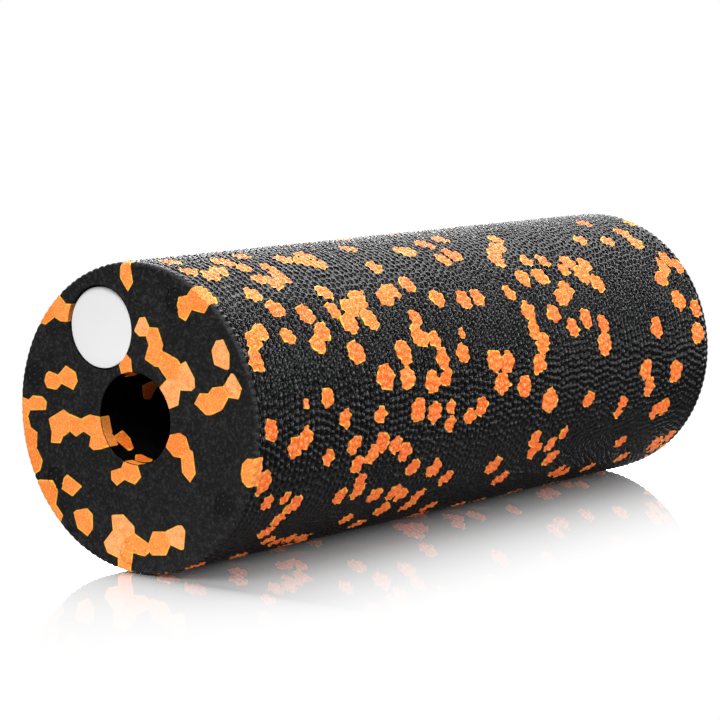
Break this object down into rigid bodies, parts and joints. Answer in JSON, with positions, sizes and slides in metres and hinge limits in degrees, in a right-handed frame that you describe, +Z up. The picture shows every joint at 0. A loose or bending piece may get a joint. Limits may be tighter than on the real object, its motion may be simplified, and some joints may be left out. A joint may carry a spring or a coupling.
{
  "type": "foam roller",
  "caption": "Short bead-foam massage roller, a thick-walled cylinder with a plain through bore, orange beads in black foam and a round label disc sunk in one end.",
  "frame": {"origin": "on the surface it lies on, under the middle of the roller", "axes": "+Y along the roller's axis, towards the end without the label; +Z up; +X to the right when looking at the label end"},
  "size_m": [0.055, 0.15, 0.055],
  "materials": {
    "black_foam": "matt bead foam with a fine pebbled mould grain",
    "orange_foam": "matt bead foam with a fine pebbled mould grain",
    "label": "smooth printed film",
    "glue": "soft clear glue film"
  },
  "bodies": {
    "root": {"foam_body": "black_foam", "orange_beads_near_end": "orange_foam", "orange_beads_far_end": "orange_foam", "orange_beads_bore": "orange_foam", "orange_beads_barrel_1_upper": "orange_foam", "orange_beads_barrel_1_lower": "orange_foam", "orange_beads_barrel_2_upper": "orange_foam", "orange_beads_barrel_2_lower": "orange_foam", "orange_beads_barrel_3_upper": "orange_foam", "orange_beads_barrel_3_lower": "orange_foam", "orange_beads_barrel_4_upper": "orange_foam", "orange_beads_barrel_4_lower": "orange_foam", "orange_beads_barrel_5_upper": "orange_foam", "orange_beads_barrel_5_lower": "orange_foam", "label_adhesive": "glue", "label_disc": "label"}
  },
  "joints": []
}
